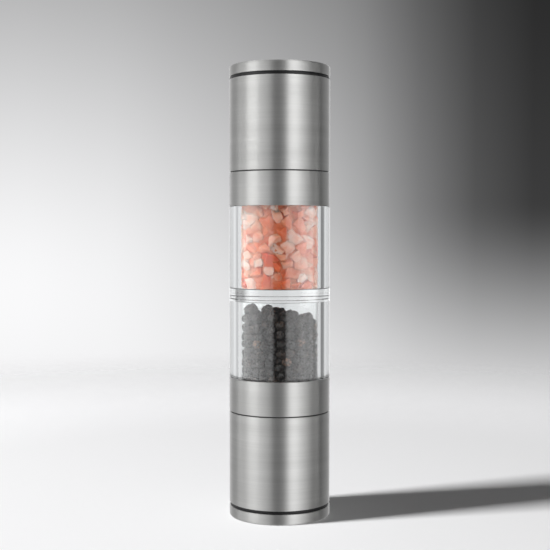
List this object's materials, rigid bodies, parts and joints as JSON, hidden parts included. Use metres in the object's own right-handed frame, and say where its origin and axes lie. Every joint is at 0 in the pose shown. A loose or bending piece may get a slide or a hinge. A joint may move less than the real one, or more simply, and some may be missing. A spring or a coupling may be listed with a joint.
{
  "type": "salt and pepper mill",
  "caption": "Salt and pepper mill: clear jars joined end to end, and at each end a steel head that turns a ceramic burr set under a push-on lid.",
  "frame": {"origin": "centre of the flat lower end, which is the pepper lid's outer face", "axes": "+Z along the mill's axis towards the salt end; +X points at one arm of each spider"},
  "size_m": [0.046, 0.046, 0.205],
  "materials": {
    "brushed_steel": "satin",
    "bright_steel": "satin",
    "clear_acrylic": "gloss",
    "black_plastic": "satin",
    "black_nylon": "matte",
    "black_silicone": "matte",
    "pale_silicone": "matte",
    "burr_ceramic": "matte",
    "pink_salt": "satin",
    "peppercorns": "matte"
  },
  "bodies": {
    "jars": {"salt_jar": "clear_acrylic", "pepper_jar": "clear_acrylic", "salt_fill": "pink_salt", "pepper_fill": "peppercorns"},
    "salt_mount": {"salt_collar": "brushed_steel", "salt_adapter": "black_plastic", "salt_gasket": "pale_silicone", "salt_glide_ring": "black_nylon", "salt_snap_ring": "bright_steel", "salt_shaft": "bright_steel", "salt_spring": "bright_steel"},
    "salt_rotor": {"salt_washer": "bright_steel", "salt_inner_burr": "burr_ceramic"},
    "salt_knob": {"salt_knob": "black_plastic"},
    "salt_head": {"salt_sleeve": "brushed_steel", "salt_core": "black_plastic", "salt_carrier": "black_plastic", "salt_outer_burr": "burr_ceramic", "salt_burr_retainer": "black_plastic", "salt_carrier_screws": "bright_steel"},
    "salt_lid": {"salt_lid_cap": "brushed_steel", "salt_lid_plug": "black_plastic", "salt_lid_seal": "black_silicone"},
    "pepper_mount": {"pepper_collar": "brushed_steel", "pepper_adapter": "black_plastic", "pepper_gasket": "pale_silicone", "pepper_glide_ring": "black_nylon", "pepper_snap_ring": "bright_steel", "pepper_shaft": "bright_steel", "pepper_spring": "bright_steel"},
    "pepper_rotor": {"pepper_washer": "bright_steel", "pepper_inner_burr": "burr_ceramic"},
    "pepper_knob": {"pepper_knob": "black_plastic"},
    "pepper_head": {"pepper_sleeve": "brushed_steel", "pepper_core": "black_plastic", "pepper_carrier": "black_plastic", "pepper_outer_burr": "burr_ceramic", "pepper_burr_retainer": "black_plastic", "pepper_carrier_screws": "bright_steel"},
    "pepper_lid": {"pepper_lid_cap": "brushed_steel", "pepper_lid_plug": "black_plastic", "pepper_lid_seal": "black_silicone"}
  },
  "joints": [
    {"name": "salt_head_unscrew", "type": "slide", "parent": "jars", "child": "salt_mount", "axis": [0, 0, 1], "range_m": [0, 0.03]},
    {"name": "salt_head_turn", "type": "hinge", "parent": "salt_mount", "child": "salt_head", "pos_m": [0, 0, 0.1572], "axis": [0, 0, 1], "continuous": true},
    {"name": "salt_burr_travel", "type": "slide", "parent": "salt_mount", "child": "salt_rotor", "axis": [0, 0, 1], "range_m": [-0.00073, 0.00073], "deforming": ["salt_spring"]},
    {"name": "salt_knob_turn", "type": "hinge", "parent": "salt_rotor", "child": "salt_knob", "pos_m": [0, 0, 0.1915], "axis": [0, 0, 1], "range_deg": [-330, 330]},
    {"name": "salt_lid_lift", "type": "slide", "parent": "salt_head", "child": "salt_lid", "axis": [0, 0, 1], "range_m": [0, 0.03]},
    {"name": "pepper_head_unscrew", "type": "slide", "parent": "jars", "child": "pepper_mount", "axis": [0, 0, -1], "range_m": [0, 0.03]},
    {"name": "pepper_head_turn", "type": "hinge", "parent": "pepper_mount", "child": "pepper_head", "pos_m": [0, 0, 0.0478], "axis": [0, 0, -1], "continuous": true},
    {"name": "pepper_burr_travel", "type": "slide", "parent": "pepper_mount", "child": "pepper_rotor", "axis": [0, 0, -1], "range_m": [-0.00073, 0.00073], "deforming": ["pepper_spring"]},
    {"name": "pepper_knob_turn", "type": "hinge", "parent": "pepper_rotor", "child": "pepper_knob", "pos_m": [0, 0, 0.0135], "axis": [0, 0, -1], "range_deg": [-330, 330]},
    {"name": "pepper_lid_lift", "type": "slide", "parent": "pepper_head", "child": "pepper_lid", "axis": [0, 0, -1], "range_m": [0, 0.03]}
  ],
  "couplings": [
    {"joint": "salt_knob_turn", "follows": "salt_burr_travel", "rad_per_m": 7854},
    {"joint": "pepper_knob_turn", "follows": "pepper_burr_travel", "rad_per_m": 7854}
  ]
}
